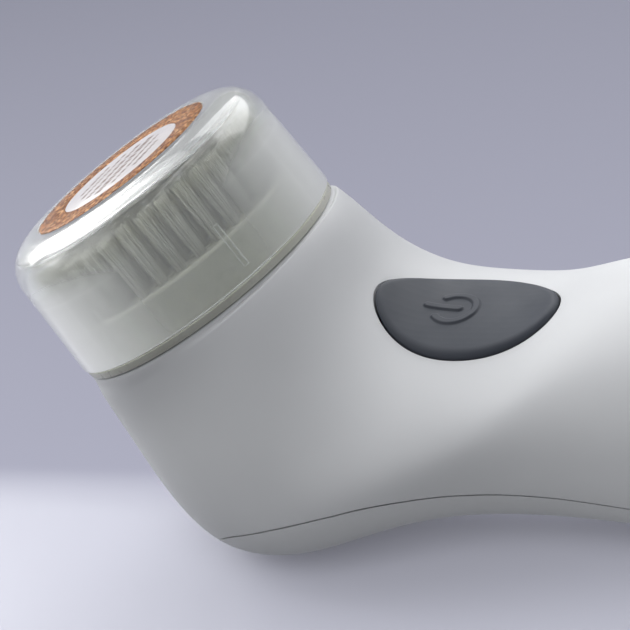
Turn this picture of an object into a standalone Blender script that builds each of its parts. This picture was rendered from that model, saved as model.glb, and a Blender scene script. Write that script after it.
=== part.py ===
"""Facial cleansing brush: a sonic brush head under a clear cap on a bent handle.

The handle lies on its back. +X runs along the handle to its end, +Z is the button side, y = 0 is the
symmetry plane. Lengths are in millimetres in this file and are scaled to metres when a mesh is made.
Profile points are measured from the head centre, the middle of the cap's lower edge.
"""
import math

import bpy
import bmesh
import numpy as np
from mathutils import Matrix, Vector
from mathutils.bvhtree import BVHTree

MM = 0.001
HEAD_X = -54.57
HEAD_Z = 44.9
HEAD_TILT = math.radians(20.0)
GAP = 0.3

# Body profile in the symmetry plane, station by station from the head to the start of the end dome.
TOP_LINE = [
    (22.55, 8.2), (25.5, 4.5), (29.4, -3.1), (37.1, -8.5), (47.2, -10.0),
    (58.2, -9.6), (71.5, -5.1), (95.6, -3.4), (118.0, -3.6),
]
BACK_LINE = [
    (-22.55, -8.2), (-17.9, -21.0), (-12.7, -33.6), (-4.6, -43.0), (10.5, -43.8),
    (29.0, -39.5), (55.6, -39.8), (92.0, -43.9), (118.0, -44.1),
]
HALF_WIDTH = [24.0, 23.9, 25.8, 27.0, 26.5, 22.9, 19.5, 20.5, 20.8]
# Superellipse powers of the upper and the lower half of each section.
TOP_POWER = [2.0, 2.18, 2.32, 2.31, 2.19, 2.28, 2.19, 2.23, 2.3]
BACK_POWER = [2.0, 2.45, 2.56, 2.55, 2.47, 2.45, 2.5, 2.41, 2.3]
HEAD_R = 24.0
WALL = 2.2
BODY_TOP = -1.5
DOME_LENGTH = 20.27
DOME_POWER = 2.5
DOME_STEPS = (0.22, 0.42, 0.58, 0.71, 0.81, 0.88, 0.94)
PARTING = [
    (-16.0, -47.0), (-9.0, -41.8), (-3.0, -37.6), (5.0, -33.0), (15.0, -29.8), (28.0, -26.6),
    (37.0, -25.6), (47.0, -26.8), (61.0, -29.0), (72.0, -31.0), (90.0, -32.8), (112.0, -34.3), (145.0, -36.0),
]
PARTING_GAP = 0.3

# Cap and brush, measured along the head axis from the cap's lower edge.
CAP_R = 24.4
CAP_TOP = 21.2
CAP_SHOULDER_R = 23.75
CORNER_R = 16.85
CORNER_Z = 15.1
CAP_WALL = 1.3
LABEL_R = 16.0
LABEL_INNER_R = 10.9
BRUSH_FACE = 6.5
OUTER_TOP = 17.0
INNER_TOP = 14.2
RING_INNER_R = 15.0
HUB_HEX_R = 5.15

# Power button: an oval that follows the body's surface.
BUTTON_X = 44.6
BUTTON_A = 14.0
BUTTON_B = 9.75
BUTTON_PROUD = 1.0

PAD_X = 98.0
PAD_R = 9.0
BATTERY_R = 7.1
BATTERY_X = (60.0, 108.0)
BATTERY_Z = -26.4
BOARD_TOP = -18.0
COIL_X = 98.0

for item in list(bpy.data.objects):
    bpy.data.objects.remove(item, do_unlink=True)

parts = bpy.data.collections.new("facial_cleansing_brush")
cutters = bpy.data.collections.new("cutters")
bpy.context.scene.collection.children.link(parts)
bpy.context.scene.collection.children.link(cutters)


def material(name, colour, roughness, metallic=0.0, alpha=1.0):
    """One Principled material per piece."""
    mat = bpy.data.materials.new(name)
    mat.use_nodes = True
    shader = mat.node_tree.nodes["Principled BSDF"]
    shader.inputs["Base Color"].default_value = (*colour, 1.0)
    shader.inputs["Roughness"].default_value = roughness
    shader.inputs["Metallic"].default_value = metallic
    shader.inputs["Alpha"].default_value = alpha
    return mat


def add_object(name, mesh, mat, smooth=None):
    """Link a mesh as a part, or as a cutter when it has no material."""
    obj = bpy.data.objects.new(name, mesh)
    if mat is None:
        cutters.objects.link(obj)
        obj.hide_render = True
        obj.display_type = "WIRE"
    else:
        parts.objects.link(obj)
        mesh.materials.append(mat)
    if smooth:
        mesh.polygons.foreach_set("use_smooth", [True] * len(mesh.polygons))
        mesh.set_sharp_from_angle(angle=math.radians(smooth))
    return obj


def in_body(obj, x=0.0, y=0.0, z=0.0, tilt=0.0):
    """Place an object in the body frame, x and z measured from the head centre."""
    obj.location = ((HEAD_X + x) * MM, y * MM, (HEAD_Z + z) * MM)
    obj.rotation_euler = (0.0, tilt, 0.0)
    return obj


def in_head(obj, x=0.0, y=0.0, z=0.0, turn=0.0):
    """Place an object in the head frame: z along the head axis, x towards the handle."""
    turn_matrix = Matrix.Rotation(-HEAD_TILT, 4, "Y")
    offset = turn_matrix @ Vector((x, y, z))
    in_body(obj, offset.x, offset.y, offset.z)
    obj.rotation_euler = (turn_matrix @ Matrix.Rotation(turn, 4, "Z")).to_euler()
    return obj


def boolean(obj, cutter, operation="DIFFERENCE"):
    """Cut or join with the exact solver."""
    mod = obj.modifiers.new(operation.lower(), "BOOLEAN")
    mod.operation = operation
    mod.solver = "EXACT"
    mod.object = cutter
    return obj


def mesh_from(name, build):
    """Make a mesh with a bmesh builder that works in millimetres."""
    mesh = bpy.data.meshes.new(name)
    bm = bmesh.new()
    build(bm)
    bmesh.ops.scale(bm, vec=(MM, MM, MM), verts=bm.verts)
    bm.to_mesh(mesh)
    bm.free()
    return mesh


def add_box(bm, low, high):
    """Add a box between two corners."""
    size = [b - a for a, b in zip(low, high)]
    middle = [(a + b) / 2 for a, b in zip(low, high)]
    bmesh.ops.create_cube(bm, size=1.0, matrix=Matrix.Translation(middle) @ Matrix.Diagonal((*size, 1.0)))


def add_rod(bm, radius, z0, z1, x=0.0, y=0.0, sides=24, top_radius=None):
    """Add an upright rod or prism."""
    top = radius if top_radius is None else top_radius
    place = Matrix.Translation((x, y, (z0 + z1) / 2))
    bmesh.ops.create_cone(bm, cap_ends=True, segments=sides, radius1=radius, radius2=top, depth=z1 - z0, matrix=place)


def box(name, low, high, mat=None):
    """A box part or cutter."""
    return add_object(name, mesh_from(name, lambda bm: add_box(bm, low, high)), mat)


def rod(name, radius, z0, z1, mat=None, sides=24, spots=((0.0, 0.0),), smooth=40):
    """One or more upright rods."""

    def build(bm):
        for x, y in spots:
            add_rod(bm, radius, z0, z1, x, y, sides)

    return add_object(name, mesh_from(name, build), mat, smooth)


def revolve(name, profile, steps, mat=None, closed=True, smooth=35):
    """Turn a profile about Z. It runs down the outer side; closed profiles come back up the inside."""
    mesh = bpy.data.meshes.new(name)
    points = [(r * MM, 0.0, z * MM) for r, z in profile]
    edges = [(i, i + 1) for i in range(len(points) - 1)]
    if closed:
        edges.append((len(points) - 1, 0))
    mesh.from_pydata(points, edges, [])
    obj = add_object(name, mesh, mat)
    mod = obj.modifiers.new("turn", "SCREW")
    mod.axis = "Z"
    mod.angle = math.tau
    mod.steps = steps
    mod.render_steps = steps
    mod.use_merge_vertices = True
    mod.merge_threshold = 0.00001
    mod.use_smooth_shade = True
    return obj


def spline(values, s):
    """Natural cubic spline through values at 0, 1, 2, ..."""
    y = np.array(values, float)
    n = len(y)
    matrix = np.eye(n)
    right = np.zeros_like(y)
    for i in range(1, n - 1):
        matrix[i, i - 1 : i + 2] = (1.0, 4.0, 1.0)
        right[i] = 6.0 * (y[i - 1] - 2.0 * y[i] + y[i + 1])
    bend = np.linalg.solve(matrix, right)
    i = int(min(max(math.floor(s), 0), n - 2))
    u = s - i
    a = 1.0 - u
    curve = (a**3 - a) * bend[i] + (u**3 - u) * bend[i + 1]
    return a * y[i] + u * y[i + 1] + curve / 6.0


def oval(top, back, width, powers, count):
    """A closed section between a top point and a back point of the symmetry plane."""
    middle = (top + back) / 2.0
    half = (top - back) / 2.0
    ring = []
    for k in range(count):
        angle = math.tau * k / count
        c = math.cos(angle)
        s = math.sin(angle)
        power = powers[0] if c > 0.0 else powers[1]
        up = math.copysign(abs(c) ** (2.0 / power), c)
        side = math.copysign(abs(s) ** (2.0 / power), s)
        ring.append((middle[0] + half[0] * up, width * side, middle[1] + half[1] * up))
    return ring


def body_rings(inset, count, steps, mouth):
    """Sections of the body, pulled in by inset, from a round mouth to the end of the dome."""
    c = math.cos(HEAD_TILT)
    s = math.sin(HEAD_TILT)
    reach = HEAD_R - inset
    top = np.array((reach * c - mouth * s, reach * s + mouth * c))
    back = np.array((-reach * c - mouth * s, -reach * s + mouth * c))
    rings = [oval(top, back, reach, (2.0, 2.0), count)]
    for s in np.linspace(0.48, len(TOP_LINE) - 1.0, steps):
        top = spline(TOP_LINE, s)
        back = spline(BACK_LINE, s)
        shrink = inset * (top - back) / np.linalg.norm(top - back)
        powers = (spline(TOP_POWER, s), spline(BACK_POWER, s))
        rings.append(oval(top - shrink, back + shrink, spline(HALF_WIDTH, s) - inset, powers, count))
    top = np.array(TOP_LINE[-1])
    back = np.array(BACK_LINE[-1])
    middle = (top + back) / 2.0
    half = (top - back) / 2.0
    for u in DOME_STEPS:
        scale = (1.0 - u**DOME_POWER) ** (1.0 / DOME_POWER)
        reach = u * (DOME_LENGTH - inset * 1.06)
        centre = middle + np.array((reach, 0.0))
        tall = half * scale * (1.0 - inset / np.linalg.norm(half))
        wide = (HALF_WIDTH[-1] - inset) * scale
        power = 2.0 + (TOP_POWER[-1] - 2.0) * scale
        rings.append(oval(centre + tall, centre - tall, wide, (power, power), count))
    return rings


def loft(name, rings, mat=None, smooth=None):
    """Skin equal-count rings and close both ends."""
    count = len(rings[0])
    points = [((HEAD_X + x) * MM, y * MM, (HEAD_Z + z) * MM) for ring in rings for x, y, z in ring]
    faces = [tuple(range(count))]
    for i in range(len(rings) - 1):
        for k in range(count):
            n = (k + 1) % count
            faces.append((i * count + n, i * count + k, (i + 1) * count + k, (i + 1) * count + n))
    last = (len(rings) - 1) * count
    faces.append(tuple(last + k for k in reversed(range(count))))
    mesh = bpy.data.meshes.new(name)
    mesh.from_pydata(points, [], faces)
    bm = bmesh.new()
    bm.from_mesh(mesh)
    bmesh.ops.recalc_face_normals(bm, faces=bm.faces)
    bm.to_mesh(mesh)
    bm.free()
    return add_object(name, mesh, mat, smooth)


def parting_z(x):
    """Height of the parting line, by straight steps between its points on a smooth curve."""
    xs = [p[0] for p in PARTING]
    i = int(np.clip(np.searchsorted(xs, x) - 1, 0, len(xs) - 2))
    s = i + (x - xs[i]) / (xs[i + 1] - xs[i])
    return float(spline([p[1] for p in PARTING], s))


def parting_block(name, above, shift, x_high=150.0):
    """A block that fills the space above or below the parting line."""
    xs = np.linspace(-16.0, 145.0, 47)
    edge = [(float(x), parting_z(x) + shift) for x in xs]
    far = 40.0 if above else -90.0
    edge[0] = (-60.0, edge[0][1] - 30.0)
    edge[-1] = (x_high, edge[-1][1])
    outline = edge + [(x_high, far), (-60.0, far)]

    def build(bm):
        verts = [bm.verts.new((HEAD_X + x, -45.0, HEAD_Z + z)) for x, z in outline]
        face = bm.faces.new(verts)
        grown = bmesh.ops.extrude_face_region(bm, geom=[face])
        moved = [v for v in grown["geom"] if isinstance(v, bmesh.types.BMVert)]
        bmesh.ops.translate(bm, vec=(0.0, 90.0, 0.0), verts=moved)
        bmesh.ops.recalc_face_normals(bm, faces=bm.faces)

    return add_object(name, mesh_from(name, build), None)


BODY_RINGS = body_rings(0.0, 48, 25, BODY_TOP)


def surface_tree():
    """A search tree over the body's outer surface, for pieces that follow it."""
    count = len(BODY_RINGS[0])
    points = [Vector(p) for ring in BODY_RINGS for p in ring]
    faces = []
    for i in range(len(BODY_RINGS) - 1):
        for k in range(count):
            n = (k + 1) % count
            faces.append((i * count + k, i * count + n, (i + 1) * count + n, (i + 1) * count + k))
    return BVHTree.FromPolygons(points, faces)


SURFACE = surface_tree()


def crest(x):
    """Top of the body above x."""
    return SURFACE.ray_cast(Vector((x, 0.0, 40.0)), Vector((0.0, 0.0, -1.0)))[0]


BUTTON_CENTRE = crest(BUTTON_X)


def surface_height(u, y):
    """Height of the body's surface over the button's centre."""
    start = BUTTON_CENTRE + Vector((u, y, 20.0))
    return 20.0 - SURFACE.ray_cast(start, Vector((0.0, 0.0, -1.0)))[3]


def at_button(obj, z=0.0):
    """Place an object on the button's axis."""
    return in_body(obj, BUTTON_X, 0.0, BUTTON_CENTRE.z + z)


def oval_ring(scale_a, scale_b, height, count=36, follow=True):
    """A ring of the button's loft; its height follows the body's surface where asked."""
    ring = []
    for k in range(count):
        angle = math.tau * k / count
        u = scale_a * math.cos(angle)
        y = scale_b * math.sin(angle)
        ring.append((u, y, height + (surface_height(u, y) if follow else 0.0)))
    return ring


def button_loft(name, rings, mat=None):
    """Skin rings given in the button's own frame; the last ring closes on a centre point."""
    count = len(rings[0])
    points = [tuple(c * MM for c in p) for ring in rings for p in ring]
    faces = [tuple(reversed(range(count)))]
    for i in range(len(rings) - 1):
        for k in range(count):
            n = (k + 1) % count
            faces.append((i * count + k, i * count + n, (i + 1) * count + n, (i + 1) * count + k))
    last = (len(rings) - 1) * count
    centre = sum((Vector(points[last + k]) for k in range(count)), Vector()) / count
    points.append(tuple(centre))
    for k in range(count):
        faces.append((last + k, last + (k + 1) % count, len(points) - 1))
    mesh = bpy.data.meshes.new(name)
    mesh.from_pydata(points, [], faces)
    return at_button(add_object(name, mesh, mat, 40))


# ---------------------------------------------------------------- body shells
def body_shell(name, mat, cut_above):
    """One half of the hollow body: the front housing, or the back cover."""
    shell = loft(name, BODY_RINGS, mat, 32)
    pad = rod(name + "_pad", PAD_R, -HEAD_Z, -42.5, sides=40)
    in_body(pad, PAD_X)
    inside = loft(name + "_inside", body_rings(WALL, 32, 16, 3.0))
    if cut_above:
        boolean(shell, pad, "UNION")
    boolean(shell, inside)
    return shell


def front_housing():
    """The main shell, open at the head, the button and the back."""
    mat = material("housing_white", (0.86, 0.87, 0.88), 0.28)
    shell = body_shell("front_housing", mat, False)
    rings = [oval_ring(BUTTON_A + GAP, BUTTON_B + GAP, h, follow=False) for h in (-8.0, 8.0)]
    boolean(shell, button_loft("button_opening", rings))
    boolean(shell, parting_block("below_parting", False, PARTING_GAP / 2))
    return shell


def back_cover():
    """The underside panel with the charging pad, two screw posts and three coil posts."""
    mat = material("cover_white", (0.84, 0.85, 0.87), 0.3)
    shell = body_shell("back_cover", mat, True)
    boolean(shell, parting_block("above_parting", True, -PARTING_GAP / 2))
    for number, x in enumerate(CHASSIS_SCREWS):
        floor = -38.4 if number == 0 else -43.0
        post = in_body(rod(f"screw_post_{number}", 2.6, floor, -35.3, sides=20), x)
        boolean(shell, post, "UNION")
        boolean(shell, in_body(rod(f"screw_hole_{number}", 1.1, -37.8, -34.0, sides=16), x))
    spots = [(8.0 * math.cos(a), 8.0 * math.sin(a)) for a in (0.0, math.tau / 3, -math.tau / 3)]
    boolean(shell, in_body(rod("coil_posts", 1.3, -42.5, -39.6, sides=12, spots=spots), COIL_X), "UNION")
    return shell


CHASSIS_SCREWS = (48.0, 113.5)


def cover_gasket():
    """A rubber strip that backs the parting line from inside."""
    mat = material("gasket_rubber", (0.12, 0.12, 0.13), 0.8)
    strip = loft("cover_gasket", body_rings(WALL + 0.35, 28, 16, -3.0), mat, 40)
    boolean(strip, loft("gasket_inside", body_rings(WALL + 1.35, 28, 16, 3.0)))
    boolean(strip, parting_block("gasket_under", False, -1.2))
    boolean(strip, parting_block("gasket_over", True, 1.2))
    return strip


# ---------------------------------------------------------------- head
def head_bezel():
    """The collar in the head opening; the brush head sits over its neck."""
    mat = material("bezel_white", (0.82, 0.83, 0.84), 0.35)
    profile = [
        (19.0, 2.6), (19.0, -1.5), (21.0, -1.5), (21.0, -5.3), (20.0, -5.3), (20.0, -6.7),
        (21.0, -6.7), (21.0, -9.0), (19.4, -9.0), (19.4, -3.2), (16.2, -3.2), (16.2, 2.6),
    ]
    return in_head(revolve("head_bezel", profile, 40, mat))


def head_seal_ring():
    """The round seal in the bezel's groove."""
    mat = material("seal_rubber", (0.15, 0.15, 0.16), 0.75)
    profile = [(20.75 + 0.5 * math.cos(a), -6.0 + 0.5 * math.sin(a)) for a in np.linspace(math.pi, -math.pi, 7)[:-1]]
    return in_head(revolve("head_seal_ring", profile, 32, mat))


def cap_corner(radius, inset):
    """Rounded top edge of the cap, from the top down to the side."""
    points = []
    for angle in np.linspace(90.0, 0.0, 7):
        a = math.radians(angle)
        r = CORNER_R + (radius - CORNER_R) * math.cos(a) ** (2 / 2.27)
        z = CORNER_Z + (CAP_TOP - inset - CORNER_Z) * math.sin(a) ** (2 / 2.27)
        points.append((r, z))
    return points


def clear_cap():
    """The clear protective cap with six short grip ribs inside."""
    mat = material("cap_clear", (0.9, 0.92, 0.9), 0.12, alpha=0.35)
    outer = [(0.0, CAP_TOP - 0.35), (LABEL_R + 0.25, CAP_TOP - 0.35), (LABEL_R + 0.25, CAP_TOP)]
    outer += cap_corner(CAP_SHOULDER_R, 0.0) + [(CAP_R, 0.0)]
    inner = [(CAP_R - CAP_WALL, 0.0)] + list(reversed(cap_corner(CAP_SHOULDER_R - CAP_WALL, CAP_WALL + 0.15)))
    cap = in_head(revolve("clear_cap", outer + inner + [(0.0, CAP_TOP - CAP_WALL - 0.15)], 48, mat, closed=False))

    def build(bm):
        for k in range(6):
            before = set(bm.verts)
            add_box(bm, (22.2, -0.4, 1.5), (23.5, 0.4, 9.0))
            new = [v for v in bm.verts if v not in before]
            turn = Matrix.Rotation(math.tau * (k + 0.5) / 6, 3, "Z")
            bmesh.ops.rotate(bm, cent=(0, 0, 0), matrix=turn, verts=new)

    ribs = in_head(add_object("cap_ribs", mesh_from("cap_ribs", build), None))
    return boolean(cap, ribs, "UNION")


def cap_labels():
    """The round label on the cap: a coloured ring and a pale centre."""
    low = CAP_TOP - 0.32
    high = CAP_TOP
    copper = material("label_copper", (0.62, 0.27, 0.1), 0.35, 0.5)
    pale = material("label_white", (0.8, 0.8, 0.82), 0.5)
    ring = [(LABEL_R, high), (LABEL_R, low), (LABEL_INNER_R + 0.05, low), (LABEL_INNER_R + 0.05, high)]
    in_head(revolve("cap_label_ring", ring, 48, copper))
    disc = [(0.0, high), (LABEL_INNER_R - 0.05, high), (LABEL_INNER_R - 0.05, low), (0.0, low)]
    in_head(revolve("cap_label_centre", disc, 40, pale, closed=False))


def brush_outer_ring():
    """The still ring of the brush head; its flange shows between cap and body."""
    mat = material("brush_ring", (0.55, 0.56, 0.5), 0.4)
    profile = [
        (21.5, BRUSH_FACE), (21.9, BRUSH_FACE - 0.5), (21.9, -0.3), (24.1, -0.3), (24.1, -1.2),
        (19.3, -1.2), (19.3, 3.4), (RING_INNER_R, 3.4), (RING_INNER_R, BRUSH_FACE),
    ]
    return in_head(revolve("brush_outer_ring", profile, 48, mat))


def brush_inner_disc():
    """The turning disc of the brush head, with a six-sided socket for the drive hub."""
    mat = material("brush_disc", (0.84, 0.85, 0.83), 0.4)
    edge = RING_INNER_R - GAP
    profile = [
        (0.0, BRUSH_FACE), (edge - 0.4, BRUSH_FACE), (edge, BRUSH_FACE - 0.4), (edge, 3.4),
        (8.2, 3.4), (8.2, -2.0), (0.0, -2.0),
    ]
    disc = in_head(revolve("brush_inner_disc", profile, 40, mat, closed=False))
    return boolean(disc, in_head(rod("hub_socket", HUB_HEX_R + 0.35, -4.0, 2.0, sides=6)))


def tufts(name, base, rows, height, mat, sides=6):
    """Bristle tufts joined by the thin backing they are set in."""

    def build(bm):
        for radius, count in rows:
            for k in range(count):
                angle = math.tau * k / count
                x = radius * math.cos(angle)
                y = radius * math.sin(angle)
                add_rod(bm, 1.0, BRUSH_FACE + 0.6, height, x, y, sides, 1.12)

    spikes = in_head(add_object(name + "_spikes", mesh_from(name, build), None))
    body = in_head(revolve(name, base, 40, mat, closed=base[0][0] > 0))
    return boolean(body, spikes, "UNION")


def brush_tufts():
    """Outer and inner bristle fields."""
    low = BRUSH_FACE + 0.1
    high = BRUSH_FACE + 0.9
    outer = [(21.3, high), (21.3, low), (15.4, low), (15.4, high)]
    rows = [(16.75, 30), (19.85, 36)]
    tufts("outer_bristles", outer, rows, OUTER_TOP, material("bristles_outer", (0.83, 0.82, 0.76), 0.6))
    inner = [(0.0, high), (14.3, high), (14.3, low), (0.0, low)]
    rows = [(0.0, 1), (3.3, 6), (6.5, 12), (9.7, 18), (12.9, 24)]
    tufts("inner_bristles", inner, rows, INNER_TOP, material("bristles_inner", (0.86, 0.85, 0.8), 0.6), 5)


# ---------------------------------------------------------------- drive
def drive_hub():
    """The shaft that turns the brush disc, six-sided at its top."""
    mat = material("hub_plastic", (0.75, 0.76, 0.78), 0.4)
    hub = in_head(rod("drive_hub", 4.0, -12.9, -2.6, mat))
    return boolean(hub, in_head(rod("hub_hex", HUB_HEX_R, -3.0, 1.6, sides=6)), "UNION")


def drive_boot():
    """The rubber boot that closes the head around the hub."""
    mat = material("boot_rubber", (0.2, 0.2, 0.21), 0.8)
    profile = [
        (19.1, -4.2), (19.1, -5.0), (13.5, -5.0), (11.0, -6.4), (8.5, -6.4), (4.4, -5.0), (4.4, -4.2),
        (8.5, -5.5), (11.0, -5.5), (13.5, -4.2),
    ]
    return in_head(revolve("drive_boot", profile, 28, mat))


def flexure_plate():
    """The steel spring plate over the motor: an outer ring, an inner ring and three arms."""
    mat = material("spring_steel", (0.6, 0.61, 0.63), 0.25, 1.0)
    outer = [(18.6, -7.4), (18.6, -7.9), (15.2, -7.9), (15.2, -7.4)]
    plate = in_head(revolve("flexure_plate", outer, 30, mat))

    def build(bm):
        for k in range(3):
            before = set(bm.verts)
            add_box(bm, (5.0, -1.5, -7.88), (16.0, 1.5, -7.42))
            new = [v for v in bm.verts if v not in before]
            turn = Matrix.Rotation(math.tau * (k + 0.5) / 3, 3, "Z")
            bmesh.ops.rotate(bm, cent=(0, 0, 0), matrix=turn, verts=new)

    boolean(plate, in_head(add_object("flexure_arms", mesh_from("arms", build), None)), "UNION")
    inner = in_head(revolve("flexure_inner", [(7.2, -7.4), (7.2, -7.9), (4.4, -7.9), (4.4, -7.4)], 24))
    boolean(plate, inner, "UNION")
    return boolean(plate, in_head(rod("flexure_holes", 1.1, -9.0, -6.0, sides=14, spots=MOTOR_SCREWS)))


MOTOR_SCREWS = [(16.9 * math.cos(a), 16.9 * math.sin(a)) for a in (0.0, math.tau / 3, -math.tau / 3)]


def motor_bracket():
    """The ring, two legs and foot that carry the motor."""
    mat = material("bracket_plastic", (0.3, 0.31, 0.33), 0.5)
    ring = [(19.0, -8.2), (19.0, -10.6), (14.8, -10.6), (14.8, -8.2)]
    bracket = in_head(revolve("motor_bracket", ring, 40, mat))

    def build(bm):
        add_box(bm, (-3.0, 14.9, -29.8), (3.0, 17.6, -9.4))
        add_box(bm, (-3.0, -17.6, -29.8), (3.0, -14.9, -9.4))

    boolean(bracket, in_head(add_object("bracket_legs", mesh_from("legs", build), None)), "UNION")
    boolean(bracket, in_head(box("bracket_foot", (-11.0, -17.0, -30.0), (11.0, 17.0, -27.6))), "UNION")
    return boolean(bracket, in_head(rod("bracket_holes", 1.1, -12.0, -7.0, sides=14, spots=MOTOR_SCREWS)))


def screw(name, mat):
    """A small pan-head screw standing on its tip."""
    profile = [(0.0, 1.1), (1.3, 1.1), (1.6, 0.7), (1.6, 0.0), (0.8, 0.0), (0.8, -2.8), (0.5, -3.2), (0.0, -3.2)]
    return revolve(name, profile, 16, mat, closed=False)


def screws():
    """Three screws clamp the spring plate, two hold the chassis."""
    mat = material("screw_steel", (0.55, 0.55, 0.57), 0.3, 1.0)
    for number, (x, y) in enumerate(MOTOR_SCREWS):
        in_head(screw(f"motor_screw_{number + 1}", mat), x, y, -7.1)
    for number, x in enumerate(CHASSIS_SCREWS):
        in_body(screw(f"chassis_screw_{number + 1}", mat), x, 0.0, -33.5)


def armature():
    """The rocking plate on the hub, with two magnets under it."""
    steel = material("armature_steel", (0.45, 0.46, 0.48), 0.35, 1.0)
    profile = [(12.5, -10.9), (12.5, -12.7), (4.05, -12.7), (4.05, -10.9)]
    in_head(revolve("armature", profile, 36, steel))
    magnet = material("magnet_nickel", (0.66, 0.65, 0.62), 0.2, 1.0)
    for name, y in (("magnet_left", 7.0), ("magnet_right", -7.0)):
        in_head(box(name, (-4.5, y - 2.2, -15.4), (4.5, y + 2.2, -12.75), magnet))


def stator():
    """The laminated core with its bobbin and winding."""
    iron = material("core_iron", (0.3, 0.3, 0.31), 0.45, 0.9)
    core = in_head(box("stator_core", (-12.0, -4.5, -27.2), (12.0, 4.5, -23.6), iron))

    def build(bm):
        for x in (-10.0, 0.0, 10.0):
            add_box(bm, (x - 2.0, -4.4, -24.0), (x + 2.0, 4.4, -16.2))

    boolean(core, in_head(add_object("core_poles", mesh_from("poles", build), None)), "UNION")
    nylon = material("bobbin_nylon", (0.85, 0.83, 0.72), 0.5)
    bobbin = in_head(box("coil_bobbin", (-7.7, -10.2, -23.3), (7.7, 10.2, -16.8), nylon))
    hole = in_head(box("bobbin_hole", (-2.3, -4.8, -30.0), (2.3, 4.8, -10.0)))
    waist = box("bobbin_waist", (-9.0, -12.0, -22.5), (9.0, 12.0, -17.6))
    boolean(waist, box("bobbin_core", (-3.1, -5.6, -24.0), (3.1, 5.6, -16.0)))
    boolean(bobbin, hole)
    boolean(bobbin, in_head(waist))
    in_head(bpy.data.objects["bobbin_core"])
    copper = material("winding_copper", (0.7, 0.33, 0.16), 0.3, 1.0)
    wind = in_head(box("coil_winding", (-7.4, -9.9, -22.3), (7.4, 9.9, -17.8), copper))
    boolean(wind, in_head(box("winding_hole", (-3.3, -5.8, -24.0), (3.3, 5.8, -16.0))))


# ---------------------------------------------------------------- handle
def chassis():
    """The tray that holds the battery and carries the circuit board."""
    mat = material("chassis_plastic", (0.25, 0.26, 0.28), 0.5)
    tray = in_body(box("chassis", (36.0, -9.5, -35.0), (118.0, 9.5, -19.3), mat))
    boolean(tray, in_body(box("tray_hollow", (38.0, -8.0, -33.7), (116.0, 8.0, -10.0))))
    boolean(tray, in_body(box("tray_front", (30.0, -6.0, -33.7), (40.0, 6.0, -10.0))))
    spots = [(x, 0.0) for x in CHASSIS_SCREWS]
    return boolean(tray, in_body(rod("tray_holes", 1.1, -37.0, -32.0, sides=14, spots=spots)))


def lying_rod(name, radius, x0, x1, mat, sides=32):
    """A rod along the handle."""
    obj = rod(name, radius, x0, x1, mat, sides)
    in_body(obj, 0.0, 0.0, BATTERY_Z)
    obj.rotation_euler = (0.0, math.radians(90.0), 0.0)
    return obj


def battery():
    """The rechargeable cell and its two welded tabs."""
    wrap = material("cell_wrap", (0.08, 0.25, 0.5), 0.4)
    cell = lying_rod("battery_cell", BATTERY_R, BATTERY_X[0], BATTERY_X[1] - 1.2, wrap)
    boolean(cell, lying_rod("cell_button", 2.6, BATTERY_X[1] - 3.0, BATTERY_X[1], None, 20), "UNION")
    nickel = material("tab_nickel", (0.7, 0.69, 0.66), 0.25, 1.0)
    low = BATTERY_X[0]
    high = BATTERY_X[1]
    in_body(box("battery_tab_negative", (low - 0.7, -2.0, -30.0), (low - 0.3, 2.0, -19.6), nickel))
    in_body(box("battery_tab_positive", (high + 0.3, -2.0, -30.0), (high + 0.7, 2.0, -19.6), nickel))


def electronics():
    """The circuit board with its switch, controller, charging driver and capacitor."""
    green = material("board_green", (0.03, 0.25, 0.12), 0.4)
    black = material("chip_black", (0.03, 0.03, 0.035), 0.45)
    in_body(box("circuit_board", (37.0, -9.3, BOARD_TOP - 1.0), (97.0, 9.3, BOARD_TOP), green))
    in_body(box("controller_chip", (66.0, -3.5, BOARD_TOP + 0.1), (73.0, 3.5, BOARD_TOP + 1.3), black))
    in_body(box("charge_driver", (79.0, -5.5, BOARD_TOP + 0.1), (84.0, -1.0, BOARD_TOP + 1.2), black))
    can = material("capacitor_can", (0.5, 0.52, 0.55), 0.3, 1.0)
    in_body(rod("capacitor", 2.4, BOARD_TOP + 0.1, BOARD_TOP + 3.6, can, 20), 89.0, 4.0)
    case = material("switch_case", (0.1, 0.1, 0.11), 0.5)
    body = in_body(box("switch_body", (-3.0, -3.0, BOARD_TOP + 0.1), (3.0, 3.0, BOARD_TOP + 2.0), case), BUTTON_X)
    boolean(body, in_body(rod("switch_bore", 1.5, BOARD_TOP + 0.9, 0.0, sides=20), BUTTON_X))
    pin = material("plunger_black", (0.05, 0.05, 0.05), 0.4)
    in_body(rod("switch_plunger", 1.2, BOARD_TOP + 1.5, PLUNGER_TOP, pin, 20), BUTTON_X)


BACKING_LOW = -4.4
NUB_LOW = -5.0
PLUNGER_TOP = BUTTON_CENTRE.z + NUB_LOW - 0.45


def power_button():
    """The rubber button, which follows the body, and the rigid plate under it."""
    rubber = material("button_rubber", (0.16, 0.165, 0.175), 0.55)
    a = BUTTON_A
    b = BUTTON_B
    rings = [oval_ring(a, b, -3.5, follow=False)]
    rings += [oval_ring(a - 0.05 * k, b - 0.05 * k, h) for k, h in ((0, 0.25), (1, 0.55))]
    rings += [oval_ring(a - d, b - d, h) for d, h in ((0.35, 0.82), (0.8, 0.97), (1.6, 1.0))]
    rings += [oval_ring(a * f, b * f, BUTTON_PROUD) for f in (0.72, 0.5, 0.26)]
    button_loft("power_button", rings, rubber)
    hard = material("backing_plastic", (0.7, 0.71, 0.72), 0.4)
    plate = button_loft("button_backing", [oval_ring(BUTTON_A - 2.4, BUTTON_B - 2.3, h, 28, False) for h in (BACKING_LOW, -3.6)], hard)
    boolean(plate, at_button(rod("backing_nub", 1.8, NUB_LOW, BACKING_LOW + 0.3, sides=20)), "UNION")


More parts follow.
